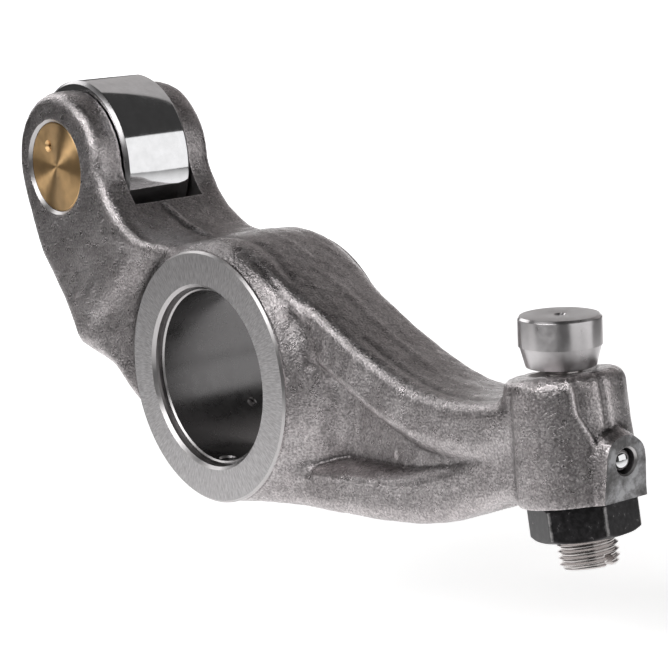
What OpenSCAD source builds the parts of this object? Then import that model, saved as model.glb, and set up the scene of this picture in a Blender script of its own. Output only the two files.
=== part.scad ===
// Roller rocker arm for an overhead camshaft, foot side up, all sizes in millimetres.
// Origin: centre of the shaft bore. Y runs along the bore, X towards the adjuster, Z along the screw.

/* [View] */
// Sub-part to draw
// Facets on a full circle in quick previews
$fn = 96; // [48:144]

/* [Shaft bore] */
// Diameter of the rocker shaft
shaft_diameter = 38; // [37:0.5:39]
// Radial running clearance of the shaft and of the roller on its pin
running_clearance = 0.03; // [0.02:0.01:0.06]
// Wall of the thin bearing liner
liner_wall = 1.0; // [0.8:0.1:1.4]
// How far the liner stays below each barrel face
liner_recess = 2.0; // [1:0.5:3]
// Width of the bevel on the bore edges
bore_bevel = 0.7; // [0.4:0.1:1]
// Radial overlap of every pressed joint
press_overlap = 0.01; // [0.01:0.01:0.03]
// Large oil hole of the liner: direction from X towards Z, distance from the front end, diameter
main_oil_hole = [261, 2.8, 3.2]; // one angle and two lengths
// Small oil hole of the liner: direction from X towards Z, distance from the back end, diameter
small_oil_hole = [209, 6.4, 2]; // one angle and two lengths

/* [Barrel] */
// Outside diameter of the barrel's turned faces
barrel_diameter = 56; // [54:0.5:58]
// Length of the barrel between its turned faces
barrel_length = 31.6; // [30:0.2:34]
// Bevel on the outer edge of the turned faces
barrel_bevel = 0.5; // [0.2:0.1:1]
// Height of the forged top over the bore centre
barrel_crown = 29.8; // [29:0.1:30.5]

/* [Roller] */
// Distance of the roller pin behind the shaft
pin_reach = 48.2; // [46:0.2:50]
// Height of the roller pin over the shaft
pin_height = 50.8; // [49:0.2:56]
// Diameter of the roller pin
pin_diameter = 21; // [19:0.5:22]
// How far each pin end stays below the ear face
pin_setback = 0.6; // [0.3:0.1:1]
// Bevel on the edges of the pin
pin_bevel = 0.3; // [0.2:0.1:0.5]
// Place of the oil hole in the pin's end, off the pin centre along X and Z
pin_oil_place = [-2.2, 5.1]; // two lengths
// Diameter and depth of the oil hole in the pin's end
pin_oil_hole = [1.6, 11]; // two lengths
// Outside diameter of the cam roller
roller_diameter = 39; // [37:0.5:40]
// Width of the cam roller
roller_width = 18; // [16:0.5:19]
// Bevel on the roller edges
roller_bevel = 0.9; // [0.5:0.1:1.5]
// Bevel at both ends of the roller's hole
roller_bore_bevel = 0.5; // [0.3:0.1:0.8]
// Gap between the roller and each ear
roller_side_gap = 0.4; // [0.2:0.1:0.6]
// Depth of the gap below the roller
roller_root_gap = 4.4; // [3:0.2:5]

/* [Fork] */
// Outer radius of the two ears around the pin
ear_radius = 17.3; // [16:0.1:18]
// How far the outline of the ears lies off the pin centre, along X and Z
ear_shift = [0.7, 0]; // two lengths
// Width over the outer faces of the ears
fork_width = 32.6; // [31:0.2:34]
// Radius of the soft forged edges of the fork
fork_edge = 2.4; // [1.5:0.1:3]
// Bevel at the mouth of the pin hole
pin_hole_bevel = 0.7; // [0.4:0.1:1]
// Fall of the surface behind the crease in degrees
crease_fall = 13; // [8:18]
// Rise of the surface beyond the hollow of the neck in degrees
neck_rise = 14.8; // [10:0.2:18]

/* [Arm] */
// Half width of the upper flange
upper_flange = 10.6; // [9.5:0.1:11.5]
// Half width of the lower flange beside the barrel and beside the boss
lower_flange = [11.6, 9.7]; // two lengths
// Half width of the web at the deepest and the shallowest end of the side pocket
pocket_web = [5.0, 9.7]; // two lengths
// Rise of the rounded top surface at its middle
top_crown = 0.6; // [0.4:0.1:1.5]
// Radius of the soft forged edges of the arm
arm_edge = 2.6; // [1.5:0.1:3.5]
// Length over which a flange blends into the web
flange_blend = 4.6; // [3:0.2:6]
// Sections of the arm beside the barrel
skirt_sections = 7; // [5:10]
// Sections of the arm along the deep end of the pocket
pocket_sections = 18; // [12:24]
// Sections of the arm from the pocket to the screw
boss_sections = 13; // [9:18]

/* [Adjuster boss] */
// Distance from the shaft to the adjusting screw
adjuster_reach = 97.5; // [94:0.5:101]
// Height of the top of the boss
boss_top = -3.5; // [-4.5:0.1:-2.5]
// Height of the seat of the lock nut
boss_seat = -28.4; // [-30:0.1:-27]
// Outer radius of the boss
boss_radius = 12.1; // [11.5:0.1:13]
// Radius of the soft top edge of the boss
boss_edge = 2.0; // [1:0.1:3]
// Width of the bevel where the screw hole leaves the top of the boss
screw_hole_bevel = 1.0; // [0.5:0.1:1.5]

/* [Adjusting screw] */
// Thread diameter of the adjusting screw
screw_diameter = 12; // [10:0.5:14]
// Radial clearance between the plain screw and its plain holes
thread_clearance = 0.04; // [0.02:0.01:0.08]
// Height of the lower end of the screw
screw_end = -41.4; // [-45:0.2:-38]
// Diameter of the ball
ball_diameter = 10; // [9:0.5:11]
// Height of the centre of the ball
ball_height = 0.9; // [0:0.1:2]
// Diameter of the neck under the ball
neck_diameter = 7.2; // [6:0.2:8]
// Height of the shoulder below the neck
shoulder_height = -4.6; // [-6:0.1:-4]
// Bevel at both ends of the thread
screw_bevel = 0.8; // [0.5:0.1:1.2]
// Width and depth of the screwdriver slot
drive_slot = [1.8, 2.4]; // two lengths

/* [Swivel foot] */
// Diameter of the ground foot
foot_diameter = 16.5; // [15:0.5:18]
// Height of the contact face over the ball centre
foot_face = 6.8; // [6:0.1:7.5]
// Length of the cylindrical band
foot_band = 5.9; // [5:0.1:7]
// Diameter at the lower end of the cone
foot_lower_diameter = 13.8; // [12.5:0.1:15]
// Distance from the ball centre to the lower end
foot_skirt = 3.2; // [2.8:0.1:3.5]
// Clearance between the ball and its socket
socket_clearance = 0.04; // [0.03:0.01:0.08]
// Bevel on the edges of the foot
foot_bevel = 0.5; // [0.3:0.1:0.8]
// Step between the band and the cone
foot_step = 0.25; // [0.1:0.05:0.4]
// Lean of the foot towards the outer end
foot_lean = 8.5; // [5:0.5:9]
// Diameter of the oil hole in the contact face
foot_oil_hole = 1.8; // [1.2:0.2:2.4]
// Thickness of the retaining ring wire
ring_wire = 1.1; // [0.8:0.1:1.3]
// Distance from the ball centre down to the retaining ring
ring_drop = 2.0; // [1.8:0.1:2.3]
// Part of a full circle that the open ring fills, in degrees
ring_span = 335; // [320:345]

/* [Lock nut] */
// Width across the flats of the lock nut
nut_flats = 19; // [17:0.5:21]
// Height of the lock nut
nut_height = 7; // [6:0.5:8]
// Height and width of the round bevel on the corners
nut_bevel = [0.8, 1.3]; // two lengths
// Turn of the tightened nut around the screw in degrees
nut_turn = 39.7; // [0:60]

/* [Oil gallery] */
// Height of the gallery where it leaves the end lug
gallery_exit = -21; // [-23:0.5:-19]
// Fall of the gallery towards the end lug in degrees
gallery_fall = 10; // [8:0.5:12]
// Diameter of the gallery
gallery_diameter = 3.6; // [3:0.2:4.2]
// Diameter of the steel ball that closes it
plug_diameter = 5; // [4:0.5:6]
// How far the plug lies inside the lug face
plug_depth = 0.3; // [0.1:0.1:1]
// Reach of the lug face from the screw axis
lug_reach = 13.8; // [13:0.2:16]
// Outer radius of the lug around the plug
lug_radius = 5.4; // [5:0.1:6.5]
// Reach of the lug's wing below the plug
lug_wing = 10; // [8.5:0.1:11]

/* [Hidden] */
epsilon = 0.01;
liner_radius = shaft_diameter / 2 + running_clearance;
liner_length = barrel_length - 2 * liner_recess;
bore_radius = shaft_diameter / 2 + liner_wall;
barrel_radius = barrel_diameter / 2;
barrel_half = barrel_length / 2;
fork_half = fork_width / 2;
pin_radius = pin_diameter / 2;
pin_centre = [-pin_reach, pin_height];
slot_half = roller_width / 2 + roller_side_gap;
slot_radius = roller_diameter / 2 + roller_root_gap;
screw_radius = screw_diameter / 2;
screw_hole_radius = screw_radius + thread_clearance;
ball_radius = ball_diameter / 2;
neck_radius = neck_diameter / 2;
foot_radius = foot_diameter / 2;
foot_lower_radius = foot_lower_diameter / 2;
foot_band_low = foot_face - foot_band;
ball_point = [adjuster_reach, 0, ball_height];
socket_radius = ball_radius + socket_clearance;
groove_clearance = 0.05;
ring_radius = sqrt(pow(ball_radius + ring_wire / 2 + groove_clearance, 2) - pow(ring_drop, 2));
gallery_point = [adjuster_reach + lug_reach, 0, gallery_exit];
gallery_length = (gallery_point[0] - bore_radius) / cos(gallery_fall);
gallery_entry = gallery_exit + (gallery_point[0] - bore_radius) * tan(gallery_fall);
gallery_direction = atan(gallery_entry / bore_radius);

// Design lines of the arm: X position first, then a height. The first part is measured from the
// shaft and the second part from the screw, so that a longer arm keeps both ends
function from_screw(line) = [for (p = line) [adjuster_reach + p[0], p[1]]];
saddle = boss_top - 4.5;
top_line = concat(
    [[0, barrel_crown], [13, 27.6], [31, 15.6]],
    from_screw([[-50.5, 4.3], [-36.5, -3.6], [-24.5, saddle + 0.8], [-11.5, saddle], [0.5, saddle]]));
bottom_line = concat(
    [[0, -28.3], [30, -30.5]],
    from_screw([[-45.5, -32.6], [-36.5, -32.9], [-27.5, -31.9], [-13.5, boss_seat - 0.1], [0.5, boss_seat + 0.8]]));
rib_line = concat(
    [[0, 13], [28, 4.2]],
    from_screw([[-55.5, -5.0], [-43.5, -12.0], [-35.5, -15.1], [-23.5, -16.9], [0.5, -16.6]]));
pocket_line = concat(
    [[0, -19], [30, -20.6]],
    from_screw([[-42.5, -22.6], [-29.5, -22], [-17.5, -20.4], [0.5, -20]]));
// Softness of the hollow between the skirt and the arm's side
skirt_hollow = 4;
// Where the closely spaced sections start and end, and the sections between the marks of a side
pocket_start = 18;
pocket_end = adjuster_reach - 47.5;
row_sections = [4, 3, 4, 3, 4, 3, 4];
// Smallest half height of the web between the two flanges
web_height = 0.2;
// Where the lower flange has its width of the boss, and the length over which it narrows to it
taper_end = adjuster_reach - 27.5;
taper_length = 30;
// Shoulder of the rounded top: share of the half width, and share of the crown that is left there
crown_shoulder = [0.55, 0.7];
// Share of the pocket depth that is left, from 1 at the barrel to 0 at the boss
pocket_share = concat([[0, 1], [38, 1]], from_screw([[-49.5, 0.84], [-37.5, 0.5], [-25.5, 0.2], [-15.5, 0], [0.5, 0]]));
// Half width of the barrel's forged skirt against the distance from the bore centre
skirt_line = [[27, 15.0], [29, 13.6], [31, 12], [33, 10.2], [35, 8.2], [37, 6], [40, 2], [200, 0]];
// The crease where the flat ear face ends, and the bottom of the hollow behind it, each from back to front
crease = [[-50.65, 10.05], [-18.6, 32.1]];
hollow = [[-49, 8.3], [0, 29.6]];
// Outline of the neck from the top of the barrel to the front of the ear, down the back and along the
// underside. The points beside the ears are measured from the pin
function from_pin(line) = [for (p = line) pin_centre + p];
neck_front = concat(
    [hollow[1], [-8, 29.6], [-15.5, 31], crease[1], [-20.6, 33.2]],
    from_pin([[23.2, -14], [20.2, -10], [18.5, -6.2]]));
neck_back = concat(
    from_pin([[-16, -6.2], [-14.4, -13.4], [-12.8, -19.6]]),
    [[-57, 24.5], [-53.6, 18.6], [-51.8, 13.4], crease[0]]);
neck_under = [[-50.2, 8.8], hollow[0], [-44.2, 6.1], [-37.8, 3.5], [-32, -2.9], [-26, -7.7], [0, -10]];
// Points inside the ear face, the fallen face and the neck face that see their whole outlines
face_hubs = [pin_centre + [4.2, -16.8], [-25, 22.5], [-22, 10]];

// Curve through the points of a line, flat before the first point and after the last
function slope_at(p, i) =
    i == 0 || i == len(p) - 1 ? 0 : (p[i + 1][1] - p[i - 1][1]) / (p[i + 1][0] - p[i - 1][0]);
function segment_of(p, x, i = 0) = i >= len(p) - 2 || x < p[i + 1][0] ? i : segment_of(p, x, i + 1);
function hermite(t, a, b, ta, tb) =
    a * (2 * pow(t, 3) - 3 * t * t + 1) + ta * (pow(t, 3) - 2 * t * t + t)
    + b * (3 * t * t - 2 * pow(t, 3)) + tb * (pow(t, 3) - t * t);
function curve(p, x) =
    let (i = segment_of(p, x), w = p[i + 1][0] - p[i][0], t = max(0, min(1, (x - p[i][0]) / w)))
    hermite(t, p[i][1], p[i + 1][1], slope_at(p, i) * w, slope_at(p, i + 1) * w);
function ease(t) = let (c = max(0, min(1, t))) c * c * (3 - 2 * c);
function mix(a, b, t) = a + (b - a) * t;
// Larger of two widths, with a soft hollow where they meet
function soft_max(a, b) = let (h = max(0, 1 - abs(a - b) / skirt_hollow)) max(a, b) + h * h * skirt_hollow / 4;

// Half width of the forged arm at one point of its side view
function arm_half_width(x, z) =
    let (share = curve(pocket_share, x),
         low = mix(lower_flange[1], lower_flange[0], ease((taper_end - x) / taper_length)),
         web = mix(pocket_web[1], pocket_web[0], share),
         upper = ease((z - curve(rib_line, x)) / flange_blend + 0.5),
         lower = ease((curve(pocket_line, x) - z) / flange_blend + 0.5),
         side = web + (upper_flange - web) * upper + (low - web) * lower,
         rim = lookup(norm([x, z]), skirt_line))
    soft_max(side, rim);
function edge_drop(d, r) = d >= r ? 0 : r - sqrt(r * r - pow(r - d, 2));
// Heights of the rows on one side of a section: they follow the rib and the pocket
function arm_rows(x) =
    let (top = curve(top_line, x), bottom = curve(bottom_line, x),
         rib = curve(rib_line, x), ledge = curve(pocket_line, x), half = flange_blend / 2,
         rib_low = max(rib - half, (rib + ledge) / 2 + web_height),
         ledge_high = min(ledge + half, (rib + ledge) / 2 - web_height),
         marks = [top, top - arm_edge, rib + half, rib_low, ledge_high, ledge - half, bottom + arm_edge, bottom])
    [for (i = [0:len(marks) - 2]) for (k = [0:row_sections[i] - 1])
        let (t = k / row_sections[i], bent = i == 0 ? 1 - cos(90 * t) : i == 6 ? sin(90 * t) : t)
        mix(marks[i], marks[i + 1], bent)];
function arm_side(x) =
    let (top = curve(top_line, x), bottom = curve(bottom_line, x))
    [for (z = concat(arm_rows(x), [bottom]))
        let (d = max(0, min(top - z, z - bottom)))
        [arm_half_width(x, z) - edge_drop(d, arm_edge), z]];
function arm_ring(x) =
    let (side = arm_side(x), n = len(side), top = side[0][1], flat = side[0][0] * crown_shoulder[0],
         shoulder = top + top_crown * crown_shoulder[1])
    concat(
        [[x, 0, top + top_crown]],
        [[x, flat, shoulder]],
        [for (p = side) [x, p[0], p[1]]],
        [[x, 0, side[n - 1][1]]],
        [for (i = [n - 1:-1:0]) [x, -side[i][0], side[i][1]]],
        [[x, -flat, shoulder]]);
// Places of the sections, closer together where the skirt falls into the pocket
function arm_stations() = concat(
    [for (i = [0:skirt_sections - 1]) mix(0, pocket_start, i / skirt_sections)],
    [for (i = [0:pocket_sections - 1]) mix(pocket_start, pocket_end, i / pocket_sections)],
    [for (i = [0:boss_sections]) mix(pocket_end, adjuster_reach, i / boss_sections)]);
// Closed skin over rings that all have the same number of points. Each end is covered by one or more
// regions, and each region is a list of ring points with a hub point inside it
function fan(region, hub, start) =
    [for (k = [0:len(region) - 1]) [start + region[(k + 1) % len(region)], start + region[k], hub]];
function turned(faces) = [for (f = faces) [f[1], f[0], f[2]]];
function skin_faces(rings, n, regions) =
    let (last = (rings - 1) * n, hub = rings * n, count = len(regions))
    concat(
        [for (k = [0:count - 1]) each fan(regions[k], hub + k, 0)],
        [for (r = [0:rings - 2]) for (i = [0:n - 1])
            let (a = r * n + i, b = r * n + (i + 1) % n) [a, b, a + n]],
        [for (r = [0:rings - 2]) for (i = [0:n - 1])
            let (a = r * n + i, b = r * n + (i + 1) % n) [b, b + n, a + n]],
        [for (k = [0:count - 1]) each turned(fan(regions[k], hub + count + k, last))]);

// Side view of the fork and neck as one closed loop
function ear_arc() = [for (a = [-10:10:190]) pin_centre + ear_shift + ear_radius * [cos(a), sin(a)]];
function neck_loop() = concat(neck_front, ear_arc(), neck_back, neck_under);
function inward(p, i) =
    let (n = len(p), a = p[(i + n - 1) % n], b = p[(i + 1) % n], t = (b - a) / norm(b - a))
    [-t[1], t[0]];
function inset_loop(p, d) = [for (i = [0:len(p) - 1]) p[i] + d * inward(p, i)];
// Distance of a point beyond a line of the side view, towards the barrel
function beyond(p, line) = let (t = (line[1] - line[0]) / norm(line[1] - line[0])) max(0, (p - line[0]) * [t[1], -t[0]]);
// Half width of the fork and neck at one point of the side view
function neck_half_width(p) =
    fork_half - tan(crease_fall) * beyond(p, crease) + tan(neck_rise) * beyond(p, hollow);
// Rings from one side to the other, drawn in at both sides for the soft edges
function neck_ring(loop, side, angle) =
    [for (p = inset_loop(loop, fork_edge * (1 - cos(angle))))
        [p[0], side * (neck_half_width(p) - fork_edge * (1 - sin(angle))), p[1]]];
function neck_rings(loop) = concat(
    [for (angle = [90, 60, 30, 0]) neck_ring(loop, -1, angle)],
    [for (angle = [0, 30, 60, 90]) neck_ring(loop, 1, angle)]);
// The three faces of a side as lists of points of the loop
function neck_regions(loop) =
    let (n = len(loop), front = 3, back = n - len(neck_under) - 1, low = back + 2)
    [[for (i = [front:back]) i], [each [0:front], each [back:low]], [0, each [low:n - 1]]];

module skin(rings, regions, hubs) {
    n = len(rings[0]);
    points = concat([for (r = rings) each r], hubs);
    polyhedron(points = points, faces = skin_faces(len(rings), n, regions), convexity = 8);
}

// The fork and the neck, with soft edges, flat ear faces and a shallow hollow behind the crease
module forged_neck() {
    loop = neck_loop();
    skin(
        neck_rings(loop),
        neck_regions(loop),
        [for (side = [-1, 1]) for (p = face_hubs) [p[0], side * neck_half_width(p), p[1]]]);
}

// The arm with its crowned top, side pockets and lower flange
module forged_arm() {
    rings = [for (x = arm_stations()) arm_ring(x)];
    skin(
        rings,
        [[for (i = [0:len(rings[0]) - 1]) i]],
        [[0, 0, 0], [adjuster_reach, 0, (boss_top + boss_seat) / 2]]);
}

// Round boss with a soft top edge
module adjuster_boss() {
    reach = boss_radius - boss_edge;
    translate([adjuster_reach, 0, 0])
        rotate_extrude()
            union() {
                translate([0, boss_seat]) square([boss_radius, boss_top - boss_edge - boss_seat]);
                translate([0, boss_seat]) square([reach, boss_top - boss_seat]);
                intersection() {
                    translate([reach, boss_top - boss_edge]) circle(r = boss_edge);
                    translate([reach, boss_top - boss_edge]) square(boss_edge + 1);
                }
            }
}

module along_gallery() {
    translate(gallery_point) rotate([0, 90 + gallery_fall, 0]) children();
}

// End lug with a round head and a flat wing, cut off flush with the nut seat. The outline of the wing
// has its first axis down the lug face and its second across it
module end_lug() {
    front = -lug_radius - 0.6;
    block = 2 * (lug_reach + lug_wing);
    difference() {
        along_gallery()
            translate([0, 0, -lug_reach])
                linear_extrude(height = lug_reach)
                    union() {
                        circle(r = lug_radius);
                        polygon([
                            [1.2 - lug_radius, 0], [0.8 - lug_radius, 0.8 - lug_radius], [lug_wing - 2, front - 0.2],
                            [lug_wing, front], [lug_wing, lug_radius - 1.8], [lug_wing - 2.5, lug_radius],
                            [0, lug_radius]]);
                    }
        translate([adjuster_reach, -block / 2, boss_seat - block]) cube(block);
    }
}

module pin_holes() {
    mouth = fork_half - pin_hole_bevel;
    translate([pin_centre[0], 0, pin_centre[1]])
        rotate([90, 0, 0]) {
            cylinder(r = pin_radius, h = fork_width + 2, center = true);
            for (side = [0, 1])
                mirror([0, 0, side])
                    translate([0, 0, mouth])
                        cylinder(r1 = pin_radius, r2 = pin_radius + 2 * pin_hole_bevel, h = 2 * pin_hole_bevel);
        }
}

// Milled slot for the roller, open at the top, front and back
module roller_slot() {
    translate([pin_centre[0], 0, pin_centre[1]])
        rotate([90, 0, 0])
            cylinder(r = slot_radius, h = 2 * slot_half, center = true);
}

module shaft_hole() {
    rotate([90, 0, 0]) {
        cylinder(r = bore_radius, h = barrel_length + 2, center = true);
        for (side = [0, 1])
            mirror([0, 0, side])
                translate([0, 0, barrel_half - bore_bevel])
                    cylinder(r1 = bore_radius, r2 = bore_radius + 2 * bore_bevel, h = 2 * bore_bevel);
    }
}

module turned_barrel() {
    rotate([90, 0, 0]) {
        cylinder(r = barrel_radius, h = barrel_length - 2 * barrel_bevel, center = true);
        for (side = [0, 1])
            mirror([0, 0, side])
                translate([0, 0, barrel_half - barrel_bevel - epsilon])
                    cylinder(r1 = barrel_radius, r2 = barrel_radius - barrel_bevel, h = barrel_bevel + epsilon);
    }
}

module screw_hole() {
    depth = boss_top - boss_seat;
    flare = 2 * screw_hole_bevel;
    translate([adjuster_reach, 0, boss_seat - 1]) cylinder(r = screw_hole_radius, h = depth + 2);
    translate([adjuster_reach, 0, boss_top - screw_hole_bevel])
        cylinder(r1 = screw_hole_radius, r2 = screw_hole_radius + flare, h = flare);
}

// Long oil hole from the lug face to the shaft bore, wider where the plug sits
module gallery_hole() {
    mouth = 0.4;
    along_gallery() {
        translate([0, 0, -gallery_length - 1]) cylinder(d = gallery_diameter, h = gallery_length);
        translate([0, 0, -plug_diameter]) cylinder(d = plug_diameter, h = plug_diameter + 1);
        translate([0, 0, -mouth]) cylinder(d1 = plug_diameter, d2 = plug_diameter + 4 * mouth, h = 2 * mouth);
    }
}

module rocker_arm() {
    color([0.42, 0.40, 0.38])
        difference() {
            union() {
                forged_neck();
                forged_arm();
                turned_barrel();
                adjuster_boss();
                end_lug();
            }
            shaft_hole();
            pin_holes();
            roller_slot();
            screw_hole();
            gallery_hole();
        }
}

// Hole through the liner: direction from X towards Z, place along Y, diameter
module liner_hole(direction, place, diameter) {
    translate([0, place, 0]) rotate([0, 90 - direction, 0]) cylinder(d = diameter, h = barrel_radius);
}

// Thin bearing liner with its oil holes
module shaft_bushing() {
    end = liner_length / 2;
    color([0.50, 0.48, 0.45])
        difference() {
            rotate([90, 0, 0])
                difference() {
                    cylinder(r = bore_radius + press_overlap, h = liner_length, center = true);
                    cylinder(r = liner_radius, h = liner_length + 2, center = true);
                }
            liner_hole(main_oil_hole[0], main_oil_hole[1] - end, main_oil_hole[2]);
            liner_hole(small_oil_hole[0], end - small_oil_hole[1], small_oil_hole[2]);
            liner_hole(gallery_direction, 0, gallery_diameter);
        }
}

module roller() {
    half = roller_width / 2;
    inner = pin_radius + running_clearance;
    outer = roller_diameter / 2;
    flare = roller_bore_bevel;
    color([0.75, 0.75, 0.76])
        translate([pin_centre[0], 0, pin_centre[1]])
            rotate([90, 0, 0])
                rotate_extrude()
                    polygon([
                        [inner + flare, -half], [outer - roller_bevel, -half], [outer, -half + roller_bevel],
                        [outer, half - roller_bevel], [outer - roller_bevel, half], [inner + flare, half],
                        [inner, half - flare], [inner, -half + flare]]);
}

// Bronze pin, turned flat at both ends, with an oil hole off its centre
module roller_pin() {
    length = fork_width - 2 * pin_setback;
    mouth = 0.6;
    color([0.72, 0.53, 0.25])
        translate([pin_centre[0], 0, pin_centre[1]])
            rotate([90, 0, 0])
                difference() {
                    union() {
                        cylinder(r = pin_radius + press_overlap, h = length - 2 * pin_bevel, center = true);
                        cylinder(r = pin_radius - pin_bevel, h = length, center = true);
                    }
                    translate([pin_oil_place[0], pin_oil_place[1], length / 2 - pin_oil_hole[1]])
                        cylinder(d = pin_oil_hole[0], h = pin_oil_hole[1] + 1);
                    translate([pin_oil_place[0], pin_oil_place[1], length / 2 - mouth])
                        cylinder(d1 = pin_oil_hole[0], d2 = pin_oil_hole[0] + 4 * mouth, h = 2 * mouth);
                }
}

// Threaded shank, neck and ball in one piece, with a screwdriver slot in the lower end
module adjusting_screw() {
    thread_low = screw_end + screw_bevel;
    thread_high = shoulder_height - screw_bevel;
    color([0.62, 0.61, 0.60])
        difference() {
            union() {
                translate([adjuster_reach, 0, thread_low]) cylinder(r = screw_radius, h = thread_high - thread_low);
                translate([adjuster_reach, 0, screw_end])
                    cylinder(r1 = screw_radius - screw_bevel, r2 = screw_radius, h = screw_bevel);
                translate([adjuster_reach, 0, thread_high])
                    cylinder(r1 = screw_radius, r2 = screw_radius - screw_bevel, h = screw_bevel);
                translate([adjuster_reach, 0, thread_high]) cylinder(r = neck_radius, h = ball_height - thread_high);
                translate(ball_point) sphere(r = ball_radius);
            }
            translate([adjuster_reach - screw_diameter, -drive_slot[0] / 2, screw_end - 1])
                cube([2 * screw_diameter, drive_slot[0], drive_slot[1] + 1]);
        }
}

module leaning() {
    translate(ball_point) rotate([0, foot_lean, 0]) children();
}

// Ground foot with a round socket, an entry for the ball and a groove for the ring
module swivel_foot() {
    rim = foot_radius - foot_bevel;
    entry = 0.4;
    oil_mouth = 0.45;
    color([0.66, 0.66, 0.66])
        leaning()
            difference() {
                union() {
                    translate([0, 0, foot_band_low]) cylinder(r = foot_radius, h = foot_band - foot_bevel);
                    translate([0, 0, foot_face - foot_bevel]) cylinder(r1 = foot_radius, r2 = rim, h = foot_bevel);
                    translate([0, 0, -foot_skirt])
                        cylinder(r1 = foot_lower_radius, r2 = foot_radius - foot_step, h = foot_skirt + foot_band_low);
                }
                sphere(r = socket_radius);
                translate([0, 0, -foot_skirt - 1]) cylinder(r = socket_radius, h = foot_skirt + 1);
                translate([0, 0, -foot_skirt - epsilon])
                    cylinder(r1 = socket_radius + entry, r2 = socket_radius, h = entry);
                translate([0, 0, -ring_drop])
                    rotate_extrude() translate([ring_radius, 0]) circle(d = ring_wire + 2 * groove_clearance);
                cylinder(d = foot_oil_hole, h = foot_face + 1);
                translate([0, 0, foot_face - oil_mouth + epsilon])
                    cylinder(d1 = foot_oil_hole, d2 = foot_oil_hole + 2 * oil_mouth, h = oil_mouth);
            }
}

// Open wire ring that holds the foot on the ball
module foot_retainer() {
    color([0.35, 0.35, 0.36])
        leaning()
            translate([0, 0, -ring_drop])
                rotate([0, 0, 90])
                    rotate_extrude(angle = ring_span) translate([ring_radius, 0]) circle(d = ring_wire, $fn = 32);
}

// Hexagon nut, bevelled round at both ends
module lock_nut() {
    corner = nut_flats / 2 / cos(30);
    wide = corner + 0.1;
    narrow = corner - nut_bevel[1];
    mouth = 0.8;
    color([0.10, 0.10, 0.11])
        translate([adjuster_reach, 0, boss_seat - nut_height])
            difference() {
                intersection() {
                    rotate([0, 0, nut_turn]) cylinder(r = corner, h = nut_height, $fn = 6);
                    union() {
                        cylinder(r1 = narrow, r2 = wide, h = nut_bevel[0]);
                        translate([0, 0, nut_bevel[0]]) cylinder(r = wide, h = nut_height - 2 * nut_bevel[0]);
                        translate([0, 0, nut_height - nut_bevel[0]]) cylinder(r1 = wide, r2 = narrow, h = nut_bevel[0]);
                    }
                }
                translate([0, 0, -1]) cylinder(r = screw_hole_radius, h = nut_height + 2);
                translate([0, 0, -epsilon]) cylinder(r1 = screw_hole_radius + mouth, r2 = screw_hole_radius, h = mouth);
            }
}

// Steel ball pressed into the end of the gallery
module gallery_ball() {
    color([0.78, 0.78, 0.80])
        along_gallery()
            translate([0, 0, -plug_diameter / 2 - plug_depth])
                sphere(d = plug_diameter + 2 * press_overlap);
}

rocker_arm();
shaft_bushing();
roller();
roller_pin();
adjusting_screw();
swivel_foot();
foot_retainer();
lock_nut();
gallery_ball();
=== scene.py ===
# Looks for the rocker arm. Lengths are in millimetres while a shape is made, and in metres in the scene.
import math
import bmesh
import bpy
import numpy as np
import openvdb
from mathutils import Matrix, Vector


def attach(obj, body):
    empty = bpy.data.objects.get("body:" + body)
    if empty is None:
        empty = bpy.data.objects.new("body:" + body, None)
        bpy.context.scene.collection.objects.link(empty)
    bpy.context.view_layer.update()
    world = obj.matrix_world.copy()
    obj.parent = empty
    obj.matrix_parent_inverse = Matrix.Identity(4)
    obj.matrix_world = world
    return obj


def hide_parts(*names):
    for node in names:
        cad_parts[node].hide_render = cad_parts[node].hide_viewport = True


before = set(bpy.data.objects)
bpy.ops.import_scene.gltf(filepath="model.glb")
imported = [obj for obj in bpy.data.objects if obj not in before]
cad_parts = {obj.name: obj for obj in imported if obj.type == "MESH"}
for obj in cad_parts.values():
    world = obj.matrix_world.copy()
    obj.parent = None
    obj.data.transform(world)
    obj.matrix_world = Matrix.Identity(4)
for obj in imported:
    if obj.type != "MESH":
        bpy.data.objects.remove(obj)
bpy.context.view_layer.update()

MM = 0.001
PER_METRE = 1000

# Sizes shared with the solids, in millimetres
BORE = 20.0
LINER = 19.03
LINER_HALF = 13.8
LINER_BEVEL = 0.35
BARREL = 28.0
BARREL_HALF = 15.8
BARREL_BEVEL = 0.5
HOLE_BEVEL = 0.7
PIN = Vector((-48.2, 0, 50.8))
PIN_RADIUS = 10.5
PIN_HALF = 15.7
PIN_BEVEL = 0.3
ROLLER_RADIUS = 19.49
ROLLER_HALF = 9.0
EAR_HALF = 16.3
SLOT_HALF = 9.4
SLOT_RADIUS = 23.9
SCREW_X = 97.5
BOSS_TOP = -3.5
BOSS_SEAT = -28.4
BOSS_RADIUS = 12.1
SCREW_RADIUS = 6.0
SCREW_HOLE = 6.04
SCREW_END = -41.4
SHOULDER = -4.6
BALL = Vector((SCREW_X, 0, 0.9))
BALL_RADIUS = 5.0
NECK_RADIUS = 3.6
FOOT_LEAN = math.radians(8.5)
LUG_REACH = 13.8
LUG_EXIT = Vector((SCREW_X + LUG_REACH, 0, -21))
GALLERY_FALL = math.radians(10)
PLUG = 2.5
PLUG_BALL = 2.51
NUT_FLATS = 19.0
NUT_HEIGHT = 7.0
NUT_TURN = math.radians(39.7)

# Placements of the turned shapes
ALONG_Y = Matrix.Rotation(math.radians(90), 4, "X")
AT_PIN = Matrix.Translation(PIN) @ ALONG_Y
AT_SCREW = Matrix.Translation((SCREW_X, 0, 0))
AT_FOOT = Matrix.Translation(BALL) @ Matrix.Rotation(FOOT_LEAN, 4, "Y")
AT_LUG = Matrix.Translation(LUG_EXIT) @ Matrix.Rotation(math.radians(90) + GALLERY_FALL, 4, "Y")

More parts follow.
